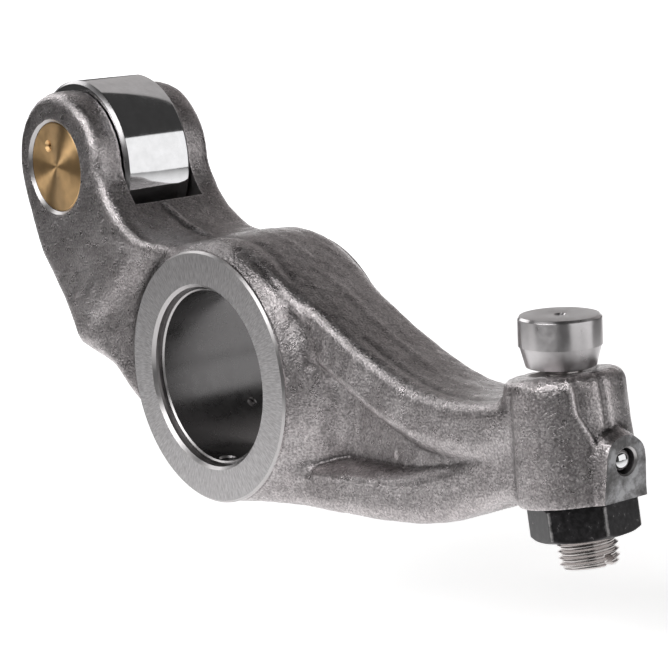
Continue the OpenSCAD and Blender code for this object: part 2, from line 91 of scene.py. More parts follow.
# Segments of a full circle
LARGE = 256
MEDIUM = 192
SCREW_SEGMENTS = 128
LUG_SEGMENTS = 96
SMALL = 64
TINY = 48


def new_object(name, points, faces, place=Matrix.Identity(4)):
    """A mesh object in millimetres, moved to its place."""
    mesh = bpy.data.meshes.new(name)
    mesh.from_pydata([tuple(p) for p in points], [], [tuple(f) for f in faces])
    mesh.transform(place)
    mesh.update()
    obj = bpy.data.objects.new(name, mesh)
    bpy.context.scene.collection.objects.link(obj)
    return obj


ROUND_STEPS = 4


def rounded(profile, radii):
    """Profile of (radius, height) points with its corners rounded. A radius of 0 keeps a corner sharp."""
    out = []
    n = len(profile)
    for i, (p, r) in enumerate(zip(profile, radii)):
        p = np.array(p, float)
        if r <= 0 or i in (0, n - 1):
            out.append(p)
            continue
        a = np.array(profile[i - 1], float) - p
        b = np.array(profile[i + 1], float) - p
        la, lb = np.linalg.norm(a), np.linalg.norm(b)
        a, b = a / la, b / lb
        half = math.acos(max(-1, min(1, float(a @ b)))) / 2
        cut = min(r / math.tan(half), la * 0.49, lb * 0.49)
        start, end = p + a * cut, p + b * cut
        for k in range(ROUND_STEPS + 1):
            t = k / ROUND_STEPS
            out.append((1 - t) ** 2 * start + 2 * t * (1 - t) * p + t * t * end)
    return out


def on_circle(radius, k, count, height):
    """Point k of a circle round the Z axis that has a number of points."""
    a = 2 * math.pi * k / count
    return (radius * math.cos(a), radius * math.sin(a), height)


def without_repeats(loop):
    """Corners of a face, each of them once."""
    return [v for m, v in enumerate(loop) if v not in loop[:m]]


def lathe(name, profile, place, segments, closed=False):
    """Surface turned round its own Z axis from an outline of (radius, height) points."""
    points, faces = [], []
    n = len(profile)
    rows = []
    for r, h in profile:
        if r < 1e-6:
            rows.append([len(points)] * segments)
            points.append((0, 0, h))
        else:
            rows.append(list(range(len(points), len(points) + segments)))
            points += [on_circle(r, k, segments, h) for k in range(segments)]
    for i in range(n if closed else n - 1):
        low, high = rows[i], rows[(i + 1) % n]
        for k in range(segments):
            j = (k + 1) % segments
            face = without_repeats([low[k], low[j], high[j], high[k]])
            if len(face) > 2:
                faces.append(face)
    return new_object(name, points, faces, place)


def cylinder(name, radius, low, high, place, segments):
    """Solid cylinder between two heights."""
    return lathe(name, [(0, low), (radius, low), (radius, high), (0, high)], place, segments)


def cone(name, r_low, r_high, low, high, place, segments):
    """Solid cone between two heights."""
    return lathe(name, [(0, low), (r_low, low), (r_high, high), (0, high)], place, segments)


def hole_mouths(radius, end, place, segments):
    """Cutters of the bevels at both ends of a through hole."""
    wide = radius + 2 * HOLE_BEVEL
    return [cone("mouth", radius, wide, end - HOLE_BEVEL, end + HOLE_BEVEL, place, segments),
            cone("mouth", wide, radius, -end - HOLE_BEVEL, -end + HOLE_BEVEL, place, segments)]


def block(name, low, high, place=Matrix.Identity(4)):
    """Solid box between two corners."""
    x, y, z = zip(low, high)
    points = [(a, b, c) for a in x for b in y for c in z]
    faces = [(0, 1, 3, 2), (4, 6, 7, 5), (0, 4, 5, 1), (2, 3, 7, 6), (0, 2, 6, 4), (1, 5, 7, 3)]
    return new_object(name, points, faces, place)


def combine(obj, cutters, operation="DIFFERENCE"):
    """Exact solid arithmetic: the cutters are used up."""
    for cutter in cutters:
        modifier = obj.modifiers.new("combine", "BOOLEAN")
        modifier.operation = operation
        modifier.solver = "MANIFOLD"
        modifier.object = cutter
        graph = bpy.context.evaluated_depsgraph_get()
        mesh = bpy.data.meshes.new_from_object(obj.evaluated_get(graph))
        obj.modifiers.clear()
        old = obj.data
        obj.data = mesh
        bpy.data.meshes.remove(old)
        bpy.data.objects.remove(cutter)
    obj.data.materials.clear()


def vectors(items, name):
    """One vector of each point or face of a mesh, one row each."""
    out = np.empty(len(items) * 3, np.float32)
    items.foreach_get(name, out)
    return out.reshape(-1, 3).astype(np.float64)


def shade(obj, angle):
    """Smooth shading with sharp edges above an angle in degrees."""
    obj.data.polygons.foreach_set("use_smooth", np.ones(len(obj.data.polygons), bool))
    obj.data.set_sharp_from_angle(angle=math.radians(angle))


# The forging as a distance field
VOXEL = 0.55
PAD = 6.0
solid_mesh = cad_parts["rocker_arm"].data
solid_mesh.calc_loop_triangles()
solid_points = vectors(solid_mesh.vertices, "co") * PER_METRE
solid_triangles = np.empty(len(solid_mesh.loop_triangles) * 3, np.int32)
solid_mesh.loop_triangles.foreach_get("vertices", solid_triangles)
solid_triangles = solid_triangles.reshape(-1, 3)
GRID_LOW = np.floor((solid_points.min(0) - PAD) / VOXEL).astype(int)
GRID_HIGH = np.ceil((solid_points.max(0) + PAD) / VOXEL).astype(int)
SHAPE = tuple(int(v) for v in GRID_HIGH - GRID_LOW + 1)
BAND = 9.0
axis_x, axis_y, axis_z = [(GRID_LOW[i] + np.arange(SHAPE[i])) * VOXEL for i in range(3)]
X = axis_x[:, None, None].astype(np.float32)
Y = axis_y[None, :, None].astype(np.float32)
Z = axis_z[None, None, :].astype(np.float32)


def field_of(points, triangles=None, quads=None):
    """Distance field of a closed surface, negative inside."""
    kinds = {}
    if triangles is not None:
        kinds["triangles"] = triangles.astype(np.uint32)
    if quads is not None:
        kinds["quads"] = quads.astype(np.uint32)
    grid = openvdb.FloatGrid.createLevelSetFromPolygons(
        points.astype(np.float32), transform=openvdb.createLinearTransform(voxelSize=VOXEL),
        halfWidth=BAND / VOXEL, **kinds)
    out = np.empty(SHAPE, np.float32)
    grid.copyToArray(out, ijk=tuple(int(v) for v in GRID_LOW))
    return out


def surface_of(field, level=0.0):
    """Points and quads of the surface at one level of a distance field."""
    grid = openvdb.FloatGrid(BAND)
    grid.copyFromArray(np.ascontiguousarray(field, dtype=np.float32), ijk=tuple(int(v) for v in GRID_LOW))
    grid.transform = openvdb.createLinearTransform(voxelSize=VOXEL)
    return grid.convertToQuads(isovalue=level)


def blurred(field, sigma):
    """Field softened by a bell curve along the three axes."""
    reach = int(math.ceil(2.5 * sigma / VOXEL))
    steps = np.arange(-reach, reach + 1)
    weights = np.exp(-0.5 * (steps * VOXEL / sigma) ** 2)
    weights /= weights.sum()
    for axis in range(3):
        out = np.zeros_like(field)
        for step, weight in zip(steps, weights):
            out += np.float32(weight) * np.roll(field, int(step), axis)
        field = out
    return field


def gallery_frame(x, z):
    """Place along the oil gallery, from 0 on the lug's face outwards, and height above the gallery."""
    dx, dz = x - LUG_EXIT.x, z - LUG_EXIT.z
    return (dx * math.cos(GALLERY_FALL) - dz * math.sin(GALLERY_FALL),
            dx * math.sin(GALLERY_FALL) + dz * math.cos(GALLERY_FALL))


field = field_of(solid_points, triangles=solid_triangles)
# The drilled and milled places are filled first, so that only the forged skin is softened
from_bore = np.sqrt(X ** 2 + Z ** 2)
field = np.minimum(field, np.maximum(from_bore - (BARREL - 0.8), np.abs(Y) - (BARREL_HALF - 0.6)))
from_pin = np.sqrt((X - PIN.x) ** 2 + (Z - PIN.z) ** 2)
field = np.minimum(field, np.maximum(from_pin - (PIN_RADIUS + 2.5), np.abs(Y) - EAR_HALF))
beside = int(np.argmin(np.abs(axis_y - (SLOT_HALF + 2.4))))
between = (np.abs(axis_y) < SLOT_HALF + 1.2)[None, :, None]
field = np.where(between & (from_pin < SLOT_RADIUS + 2), field[:, beside:beside + 1, :], field)
SCREW_FILL = 8.6
from_screw = np.sqrt((X - SCREW_X) ** 2 + Y ** 2)
field = np.minimum(field, np.maximum(from_screw - SCREW_FILL, np.maximum(Z - BOSS_TOP, BOSS_SEAT - Z)))
GALLERY_FILLS = ((3.4, 88), (4.6, 8))
along, across = gallery_frame(X, Z)
from_gallery = np.sqrt(across ** 2 + Y ** 2)
for radius, length in GALLERY_FILLS:
    field = np.minimum(field, np.maximum(from_gallery - radius, np.maximum(along, -along - length)))
# The nut seat and the lug face are cut later: the skin runs on below and beyond them
ABOVE_SEAT = BOSS_SEAT + 2.0
low = int(np.argmin(np.abs(axis_z - ABOVE_SEAT)))
below = (axis_z < ABOVE_SEAT)[None, None, :] & (from_screw < 13.0)
field = np.where(below, field[:, :, low:low + 1], field)
past_lug = (along + 1.0)[:, 0, :]
on_lug = (past_lug > 0) & (past_lug < 4) & (X[:, 0] > 100) & (np.abs(across[:, 0, :]) < 13)
source = field.copy()
for i, k in zip(*np.nonzero(on_lug)):
    u = (axis_x[i] - past_lug[i, k] * math.cos(GALLERY_FALL) - axis_x[0]) / VOXEL
    w = (axis_z[k] + past_lug[i, k] * math.sin(GALLERY_FALL) - axis_z[0]) / VOXEL
    a, c = int(u), int(w)
    u, w = u - a, w - c
    field[i, :, k] = ((source[a, :, c] * (1 - w) + source[a, :, c + 1] * w) * (1 - u)
                      + (source[a + 1, :, c] * (1 - w) + source[a + 1, :, c + 1] * w) * u)
# Closing rounds the inner corners, opening rounds the outer ones
CLOSE = 1.5
OPEN = 1.3
points, quads = surface_of(field, CLOSE)
field = field_of(points, quads=quads) + CLOSE
points, quads = surface_of(field, -OPEN)
field = field_of(points, quads=quads) - OPEN
field = blurred(field, 0.8)
points, quads = surface_of(field)
forging = new_object("forging", points, quads[:, ::-1])
bm = bmesh.new()
bm.from_mesh(forging.data)
bmesh.ops.recalc_face_normals(bm, faces=bm.faces)
if bm.calc_volume(signed=True) < 0:
    bmesh.ops.reverse_faces(bm, faces=bm.faces)
bm.to_mesh(forging.data)
bm.free()


WAVES = 28


def sin_noise(points, wavelength, seed):
    """Smooth random relief made of plane waves with one typical wavelength."""
    rng = np.random.default_rng(seed)
    total = np.zeros(len(points))
    for _ in range(WAVES):
        d = rng.normal(size=3)
        d /= np.linalg.norm(d)
        k = 2 * math.pi / (wavelength * rng.uniform(0.75, 1.4))
        total += np.sin(points @ d * k + rng.uniform(0, 2 * math.pi))
    return total / math.sqrt(WAVES / 2)


def ease(t):
    """Soft step from 0 to 1."""
    t = np.clip(t, 0, 1)
    return t * t * (3 - 2 * t)


def design(line, x):
    """Curve through the points of a line, flat at both ends."""
    p = np.array(line, float)
    slope = np.zeros(len(p))
    slope[1:-1] = (p[2:, 1] - p[:-2, 1]) / (p[2:, 0] - p[:-2, 0])
    i = np.clip(np.searchsorted(p[:, 0], x, side="right") - 1, 0, len(p) - 2)
    w = p[i + 1, 0] - p[i, 0]
    t = np.clip((x - p[i, 0]) / w, 0, 1)
    return (p[i, 1] * (2 * t ** 3 - 3 * t ** 2 + 1) + slope[i] * w * (t ** 3 - 2 * t ** 2 + t)
            + p[i + 1, 1] * (3 * t ** 2 - 2 * t ** 3) + slope[i + 1] * w * (t ** 3 - t ** 2))


TOP_LINE = [[0, 29.8], [13, 27.6], [31, 15.6], [47, 4.3], [61, -3.6], [73, -7.2], [86, -8], [98, -8]]
BOTTOM_LINE = [[0, -28.3], [30, -30.5], [52, -32.6], [61, -32.9], [70, -31.9], [84, -28.5], [98, -27.6]]
RIB_LINE = [[0, 13], [28, 4.2], [42, -5.0], [54, -12.0], [62, -15.1], [74, -16.9], [98, -16.6]]
LEDGE_LINE = [[0, -19], [30, -20.6], [55, -22.6], [68, -22], [80, -20.4], [98, -20]]
POCKET_SHARE = [[0, 1], [38, 1], [48, 0.84], [60, 0.5], [72, 0.2], [82, 0], [98, 0]]
SKIRT_LINE = [[27, 15.0], [29, 13.6], [31, 12], [33, 10.2], [35, 8.2], [37, 6], [40, 2], [200, 0]]
UPPER_FLANGE = 10.6
LOWER_FLANGE = 9.7
LOWER_SWELL = 1.9
WEB = 9.7
POCKET_DEPTH = 4.7
SKIRT_HOLLOW = 1.6


def side_width(x, z):
    """Half width of the arm with the crisp inner corners of the struck pocket."""
    share = design(POCKET_SHARE, x)
    low = LOWER_FLANGE + LOWER_SWELL * ease((70 - x) / 30)
    web = WEB - POCKET_DEPTH * share
    rise = np.clip((z - design(RIB_LINE, x)) / 4.8 + 0.5, 0, 1)
    drop = np.clip((design(LEDGE_LINE, x) - z) / 3.2 + 0.4, 0, 1)
    side = web + (UPPER_FLANGE - web) * (1 - (1 - rise) ** 2.2) + (low - web) * (1 - (1 - drop) ** 2)
    skirt = np.interp(np.hypot(x, z), *zip(*SKIRT_LINE))
    h = np.clip(1 - np.abs(side - skirt) / SKIRT_HOLLOW, 0, 1)
    return np.maximum(side, skirt) + h * h * SKIRT_HOLLOW / 4


def along_line(points, line, width):
    """Share from 1 on a line of points to 0 away from it."""
    best = np.full(len(points), 1e9)
    line = np.array(line, float)
    for start, end in zip(line[:-1], line[1:]):
        way = end - start
        t = np.clip((points - start) @ way / (way @ way), 0, 1)
        best = np.minimum(best, ((points - start - t[:, None] * way) ** 2).sum(1))
    return np.exp(-best / width ** 2)


def push_sides(co):
    """Moves the sides of the arm, between barrel and boss, to their exact width."""
    x, y, z = co.T
    half = side_width(x, z)
    weight = ease((x - 26) / 3) * ease((86 - x) / 3) * ease((np.hypot(x, z) - 28.6) / 1.5)
    weight *= ease((design(TOP_LINE, x) - 3.4 - z) / 2) * ease((z - design(BOTTOM_LINE, x) - 3.0) / 2)
    weight *= ease((np.hypot(x - SCREW_X, y) - 13.2) / 2) * ease((np.abs(y) - 2.5) / 1.5)
    co[:, 1] += np.sign(y) * (half - np.abs(y)) * weight


def place_points(mesh, co):
    """Moves all points of a mesh."""
    mesh.vertices.foreach_set("co", co.astype(np.float32).ravel())
    mesh.update()


co = vectors(forging.data.vertices, "co")
push_sides(co)
place_points(forging.data, co)
normals = vectors(forging.data.vertices, "normal")

# Fine unevenness of a hot forging
relief = 0.022 * sin_noise(co, 3.0, 5) + 0.040 * sin_noise(co, 8.5, 6)
# Long flow marks on the upper side of the arm
upper = ease((normals[:, 2] - 0.35) / 0.3) * ease((co[:, 0] + 4) / 8)
relief += upper * (0.016 * np.sin(co[:, 1] * 1.35 + 0.4) + 0.012 * np.sin(co[:, 1] * 2.9 + 1.7))
# Trim lines and small seams, each with its height, its width and its points
SEAMS = [
    (0.50, 0.65, [(-26.2, -1.7, 38.4), (-24.4, -0.7, 36.3), (-21.6, -0.3, 34), (-18.5, 0.5, 32.1),
                  (-13.4, 0.1, 30.6)]),
    (-0.28, 0.9, [(-24.6, -2.2, 35.4), (-21.8, -1.8, 33.1), (-18.6, -1.1, 31.3), (-13.4, -1.3, 30.3)]),
    (-0.22, 0.9, [(-11, -2, 30.1), (4.3, -8.2, 29.9), (9.0, -7.3, 29.2), (14, -6.3, 27.4),
                  (19.2, -6.5, 24.4), (23.2, -7.6, 21.4), (26.1, -7.8, 19.2)]),
    (0.12, 0.7, [(10.8, 0.6, 29), (15.2, 1.1, 27), (21.3, 1.7, 23.2)]),
    (0.12, 0.7, [(14.2, 7.4, 27.2), (20, 8.8, 23.6), (24.4, 10.2, 20.2)]),
    (0.14, 0.7, [(27.1, 1, 18.9), (33.7, 1.3, 14.2), (41.3, 0.9, 8.7), (48.9, 0.8, 3.6), (54, 0.9, 0.6),
                 (66.4, 0, -4.3)]),
    (-0.35, 1.1, [(14, -11.4, 26.8), (21.9, -11.5, 21.6), (26, -12, 17.6), (29.7, -11.9, 11.5),
                  (31.6, -11.7, 6.5), (31.6, -11.4, 1.5)]),
    (-0.20, 0.8, [(45.3, -6.3, 5.7), (51.4, -6.1, 1.8), (57.9, -6.1, -1.9), (64.8, -6, -4.9),
                  (71, -6.2, -6.4), (78, -6.6, -7.4), (84.5, -6.2, -7.8)]),
    (-0.30, 1.0, [(94, -11.6, -6), (92.6, -11, -12.9), (90.3, -9.7, -21), (89.9, -9.6, -26)]),
    (-0.30, 1.0, [(94, 11.6, -6), (92.6, 11, -12.9), (90.3, 9.7, -21), (89.9, 9.6, -26)]),
    (0.55, 1.1, [(38.4, -5.8, -6.5), (37.2, -6.0, -11.4), (35.6, -6.2, -16.4)]),
    (-0.60, 2.2, [(34.6, -8, -4.5), (33.2, -8.2, -10), (32.2, -8.6, -15.5)])]
for height, width, line in SEAMS:
    relief += height * along_line(co, line, width)
co += normals * relief[:, None]

# Step of the trimmed outer side of the adjuster boss, with its thin lip and a soft valley beside the lug
turn = np.degrees(np.arctan2(co[:, 1], co[:, 0] - SCREW_X))
out = np.hypot(co[:, 1], co[:, 0] - SCREW_X)
STEP_HEIGHTS = [-30, -27.3, -18.9, -14.9, -10.8, -7.0, -4.8, -3]
STEP_ANGLES = [-28, -28, -22.2, -27, -37, -37.3, -38.6, -39]
edge = np.interp(co[:, 2], STEP_HEIGHTS, STEP_ANGLES)
beyond = (turn - edge) * math.pi / 180 * BOSS_RADIUS
on_wall = ease((out - 9) / 1.5) * ease((13.2 - out) / 0.6) * ease((co[:, 0] - 100) / 2)
sink = (0.5 + 0.55 * np.exp(-(beyond / 3.5) ** 2)) * ease(beyond / 0.8) * ease((84 - turn) / 8)
lip = 0.18 * np.exp(-((beyond + 0.3) / 0.45) ** 2)
valley = 0.55 * np.exp(-((turn + 6.5) / 3.6) ** 2) * ease((co[:, 2] + 17) / 2)
move = (lip - sink - valley) * on_wall
co[:, 0] += move * (co[:, 0] - SCREW_X) / np.maximum(out, 1)
co[:, 1] += move * co[:, 1] / np.maximum(out, 1)
co[:, 1] = np.clip(co[:, 1], -EAR_HALF, EAR_HALF)
# The skin stays below the turned faces, so that these are flat
SUNK = 0.15
near = np.hypot(co[:, 0], co[:, 2]) < BARREL + 0.2
co[near, 1] = np.clip(co[near, 1], SUNK - BARREL_HALF, BARREL_HALF - SUNK)
place_points(forging.data, co)

# Turned, milled and drilled surfaces
combine(forging, [lathe("barrel", [
    (0, -BARREL_HALF), (BARREL - BARREL_BEVEL, -BARREL_HALF), (BARREL, BARREL_BEVEL - BARREL_HALF),
    (BARREL, BARREL_HALF - BARREL_BEVEL), (BARREL - BARREL_BEVEL, BARREL_HALF), (0, BARREL_HALF)],
    ALONG_Y, LARGE)], "UNION")
THROUGH = 20
SEAT_RADIUS = 20.2
PLUG_BEVEL = 0.4
combine(forging, [
    cylinder("bore", BORE, -THROUGH, THROUGH, ALONG_Y, LARGE), *hole_mouths(BORE, BARREL_HALF, ALONG_Y, LARGE),
    cylinder("slot", SLOT_RADIUS, -SLOT_HALF, SLOT_HALF, AT_PIN, LARGE),
    cylinder("pin_hole", PIN_RADIUS, -THROUGH, THROUGH, AT_PIN, MEDIUM),
    *hole_mouths(PIN_RADIUS, EAR_HALF, AT_PIN, MEDIUM),
    cone("seat", 36, SEAT_RADIUS, BOSS_SEAT - 20, BOSS_SEAT, AT_SCREW, SCREW_SEGMENTS),
    cylinder("screw_hole", SCREW_HOLE, -45, 5, AT_SCREW, SCREW_SEGMENTS),
    cone("mouth", SCREW_HOLE, SCREW_HOLE + 2, BOSS_TOP - 1, BOSS_TOP + 1, AT_SCREW, SCREW_SEGMENTS),
    block("beyond_lug", (-12, -12, 0), (12, 12, 12), AT_LUG),
    cylinder("plug_hole", PLUG, -5, 2, AT_LUG, LUG_SEGMENTS),
    cone("mouth", PLUG, PLUG + 2 * PLUG_BEVEL, -PLUG_BEVEL, PLUG_BEVEL, AT_LUG, LUG_SEGMENTS)])
forging.name = "forged_body"
forging.data.transform(Matrix.Scale(MM, 4))
shade(forging, 180)

# Thin liner in the bore, with its oil holes
LINER_OUT = BORE + 0.02
liner = lathe("liner", [
    (LINER, LINER_HALF - LINER_BEVEL), (LINER, LINER_BEVEL - LINER_HALF), (LINER + LINER_BEVEL, -LINER_HALF),
    (LINER_OUT, -LINER_HALF), (LINER_OUT, LINER_HALF), (LINER + LINER_BEVEL, LINER_HALF)],
    ALONG_Y, LARGE, closed=True)


def oil_hole(angle, place, radius):
    """Cutters of a hole through the liner and of the bevel at its mouth."""
    turn = Matrix.Translation((0, place, 0)) @ Matrix.Rotation(math.radians(90 - angle), 4, "Y")
    return [cylinder("oil_hole", radius, 10, 26, turn, SMALL),
            cone("mouth", radius * 1.5, radius * 0.98, LINER - 0.6, LINER + 0.4, turn, SMALL)]


combine(liner, oil_hole(261, -11, 1.6) + oil_hole(209, 7.4, 1.0) + oil_hole(-13.8, 0, 1.8))
liner.name = "bearing_liner"

# Cam roller
FACE_RADIUS = 18.7
BAND_HALF = ROLLER_HALF - 0.8
ROLLER_HOLE = PIN_RADIUS + 0.03
roller = lathe("cam_roller", rounded(
    [(11.0, -ROLLER_HALF), (FACE_RADIUS, -ROLLER_HALF), (ROLLER_RADIUS, -BAND_HALF), (ROLLER_RADIUS, BAND_HALF),
     (FACE_RADIUS, ROLLER_HALF), (11.0, ROLLER_HALF), (ROLLER_HOLE, ROLLER_HALF - 0.5),
     (ROLLER_HOLE, 0.5 - ROLLER_HALF), (11.0, -ROLLER_HALF)],
    [0, 0.25, 0.3, 0.3, 0.25, 0.1, 0.1, 0.1, 0])[:-1], AT_PIN, LARGE, closed=True)

# Bronze pin with its oil hole
pin = lathe("bronze_pin", rounded(
    [(0, -PIN_HALF), (PIN_RADIUS - PIN_BEVEL, -PIN_HALF), (PIN_RADIUS, PIN_BEVEL - PIN_HALF),
     (PIN_RADIUS, PIN_HALF - PIN_BEVEL), (PIN_RADIUS - PIN_BEVEL, PIN_HALF), (0, PIN_HALF)],
    [0, 0.1, 0.1, 0.1, 0.1, 0]), AT_PIN, MEDIUM)
AT_HOLE = AT_PIN @ Matrix.Translation((-2.2, 5.1, PIN_HALF))
combine(pin, [cylinder("hole", 0.8, -11, 1, AT_HOLE, TINY), cone("mouth", 0.8, 2.0, -0.6, 0.6, AT_HOLE, TINY)])

# Adjusting screw: rolled thread, neck and ball in one skin
PITCH = 1.25
THREAD_DEPTH = 0.72
CREST = 0.14
FLANK = 0.62
END_BEVEL = 0.8
COLUMNS = 96


def thread_radius(h, turn):
    """Radius of the screw at height h and at a share of a full turn."""
    phase = (h / PITCH - turn) % 1.0
    depth = abs(phase - 0.5) * 2
    flank = min(1, max(0, (1 - depth - CREST) / FLANK))
    flank = flank + 0.06 * math.sin(2 * math.pi * flank) / math.pi
    r = SCREW_RADIUS - THREAD_DEPTH * flank
    end = SCREW_RADIUS - END_BEVEL + max(0, h - SCREW_END)
    top = SCREW_RADIUS - END_BEVEL + max(0, SHOULDER - h)
    return min(r, end, top)


# The rows of points follow the thread: one turn further round, a row is one pitch higher
STEPS = 12
ROWS = int(math.ceil((SHOULDER - SCREW_END) / PITCH) + 1) * STEPS
LEAST_STEP = 0.003
points, faces = [], []
for i in range(ROWS + 1):
    for k in range(COLUMNS):
        h = SCREW_END - PITCH + (i / STEPS + k / COLUMNS) * PITCH
        h = min(max(h, SCREW_END + LEAST_STEP * i), SHOULDER - LEAST_STEP * (ROWS - i))
        points.append(on_circle(thread_radius(h, k / COLUMNS), k, COLUMNS, h))
for i in range(ROWS):
    for k in range(COLUMNS - 1):
        low = i * COLUMNS + k
        faces.append((low, low + 1, low + 1 + COLUMNS, low + COLUMNS))
LAST = COLUMNS - 1
for i in range(ROWS - STEPS):
    faces.append((i * COLUMNS + LAST, (i + STEPS) * COLUMNS,
                  (i + STEPS + 1) * COLUMNS, (i + 1) * COLUMNS + LAST))
for j in range(STEPS):
    faces.append((LAST, j * COLUMNS, (j + 1) * COLUMNS))
    i = ROWS - STEPS + j
    faces.append((ROWS * COLUMNS, (i + 1) * COLUMNS + LAST, i * COLUMNS + LAST))
points.append((0, 0, SCREW_END))
for k in range(COLUMNS):
    faces.append((len(points) - 1, (k + 1) % COLUMNS, k))
# Shoulder, neck and ball follow on the last row of the thread
BALL_STEPS = 24
last = [ROWS * COLUMNS + k for k in range(COLUMNS)]
start = math.acos(NECK_RADIUS / BALL_RADIUS)
neck = ((5.2, 0.01), (4.4, 0.05), (3.9, 0.25), (3.65, 0.6), (NECK_RADIUS, 1.0))
rows = [(r, SHOULDER + above) for r, above in neck]
for k in range(BALL_STEPS + 1):
    a = -start + (math.pi / 2 + start) * k / BALL_STEPS
    rows.append((BALL_RADIUS * math.cos(a) if k < BALL_STEPS else 0, BALL.z + BALL_RADIUS * math.sin(a)))
for r, h in rows:
    if r == 0:
        ring = [len(points)] * COLUMNS
        points.append((0, 0, h))
    else:
        ring = list(range(len(points), len(points) + COLUMNS))
        points += [on_circle(r, k, COLUMNS, h) for k in range(COLUMNS)]
    for k in range(COLUMNS):
        j = (k + 1) % COLUMNS
        faces.append(without_repeats([last[k], last[j], ring[j], ring[k]]))
    last = ring
screw = new_object("ball_screw", points, faces, AT_SCREW)
combine(screw, [block("drive", (SCREW_X - 9, -0.9, SCREW_END - 1), (SCREW_X + 9, 0.9, SCREW_END + 2.4))])

# Swivel foot with its socket and the groove for the wire ring
outside = rounded(
    [(5.44, -3.2), (6.9, -3.2), (8.0, 0.9), (8.25, 0.92), (8.25, 6.3), (7.75, 6.8), (1.3, 6.8), (0.9, 6.4)],
    [0, 0.25, 0, 0.1, 0.25, 0.25, 0.1, 0])
SOCKET = BALL_RADIUS + 0.04
GROOVE_CENTRE = (5.23, -2.0)
GROOVE_RADIUS = 0.6
socket = [(0.9, 4.96)]
for k in range(1, 17):
    a = math.radians(80 - 5 * k)
    socket.append((SOCKET * math.cos(a), SOCKET * math.sin(a)))
socket.append((SOCKET, -1.40))
for k in range(9):
    a = math.radians(100 - 25 * k)
    socket.append((GROOVE_CENTRE[0] + GROOVE_RADIUS * math.cos(a), GROOVE_CENTRE[1] + GROOVE_RADIUS * math.sin(a)))
socket += [(SOCKET, -2.66), (SOCKET, -2.8)]
foot = lathe("ground_foot", outside + socket, AT_FOOT, MEDIUM, closed=True)

# Lock nut: a hexagon with its corners turned away at both ends and all edges slightly rounded
APOTHEM = NUT_FLATS / 2
CORNER = APOTHEM / math.cos(math.radians(30))
CORNER_SHARPNESS = 70
RIM_SHARPNESS = 110
NUT_BEVEL = 0.8
NUT_COLUMNS = 192


def nut_radius(h, a):
    """Outer radius of the nut at height h and angle a."""
    total = 0.0
    for k in range(6):
        c = math.cos(a - NUT_TURN - math.radians(30 + 60 * k))
        if c > 0:
            total += (c / APOTHEM) ** CORNER_SHARPNESS
    hexagon = total ** (-1 / CORNER_SHARPNESS)
    end = min(h, NUT_HEIGHT - h)
    turned = CORNER - 1.3 + end * 1.75
    return (hexagon ** -RIM_SHARPNESS + turned ** -RIM_SHARPNESS) ** (-1 / RIM_SHARPNESS)


heights = [0, 0.12, 0.2, 0.3, 0.4, 0.5, 0.6, 0.7, 0.8, 0.9, 1.05, 1.3, 1.8]
heights = heights + [NUT_HEIGHT - v for v in reversed(heights)]
outer = [[(nut_radius(h, 2 * math.pi * k / NUT_COLUMNS), h) for k in range(NUT_COLUMNS)] for h in heights]
# The end faces begin a little further in, so that their rims are rounded
RIM_IN = 0.12
RIM_UP = 0.05
low_rim = [(r - RIM_IN, 0) for r, _ in outer[0]]
top_rim = [(r - RIM_IN, NUT_HEIGHT) for r, _ in outer[-1]]
outer[0] = [(r, RIM_UP) for r, _ in outer[0]]
outer[-1] = [(r, NUT_HEIGHT - RIM_UP) for r, _ in outer[-1]]
inner = [(SCREW_HOLE + NUT_BEVEL, NUT_HEIGHT), (SCREW_HOLE, NUT_HEIGHT - NUT_BEVEL), (SCREW_HOLE, NUT_BEVEL),
         (SCREW_HOLE + NUT_BEVEL, 0)]
rows = [low_rim] + outer + [top_rim] + [[p] * NUT_COLUMNS for p in inner]
points = [on_circle(r, k, NUT_COLUMNS, h) for row in rows for k, (r, h) in enumerate(row)]
faces = []
for i in range(len(rows)):
    low, high = i * NUT_COLUMNS, (i + 1) % len(rows) * NUT_COLUMNS
    for k in range(NUT_COLUMNS):
        j = (k + 1) % NUT_COLUMNS
        faces.append((low + k, low + j, high + j, high + k))
nut = new_object("thin_lock_nut", points, faces, Matrix.Translation((SCREW_X, 0, BOSS_SEAT - NUT_HEIGHT)))

# Steel ball that closes the oil gallery
PLUG_DEPTH = 2.8
plug = lathe("plug_ball", [
    (PLUG_BALL * math.cos(math.radians(a)), PLUG_BALL * math.sin(math.radians(a))) for a in range(-90, 91, 6)],
    AT_LUG @ Matrix.Translation((0, 0, -PLUG_DEPTH)), SMALL)

for obj, angle in ((liner, 30), (roller, 24), (pin, 24), (screw, 50), (foot, 24), (nut, 35), (plug, 60)):
    obj.data.transform(Matrix.Scale(MM, 4))
    shade(obj, angle)


# Materials
def principled(name, color, metallic, roughness):
    """A new material with its node tree and its shader."""
    mat = bpy.data.materials.new(name)
    mat.use_nodes = True
    tree = mat.node_tree
    shader = tree.nodes["Principled BSDF"]
    shader.inputs["Base Color"].default_value = (*color, 1)
    shader.inputs["Metallic"].default_value = metallic
    shader.inputs["Roughness"].default_value = roughness
    return mat, tree, shader


def feed(tree, socket, value):
    """Links an output to a socket, or sets the socket to a constant."""
    if hasattr(value, "is_output"):
        tree.links.new(value, socket)
    else:
        socket.default_value = value


def vector_math(tree, operation, a, b=None):
    """A vector math node, fed by outputs or constants."""
    node = tree.nodes.new("ShaderNodeVectorMath")
    node.operation = operation
    feed(tree, node.inputs[0], a)
    if b is not None:
        feed(tree, node.inputs[1], b)
    return node


def value_math(tree, operation, a, b=None):
    """Output of a math node, fed by outputs or constants."""
    node = tree.nodes.new("ShaderNodeMath")
    node.operation = operation
    feed(tree, node.inputs[0], a)
    if b is not None:
        feed(tree, node.inputs[1], b)
    return node.outputs[0]


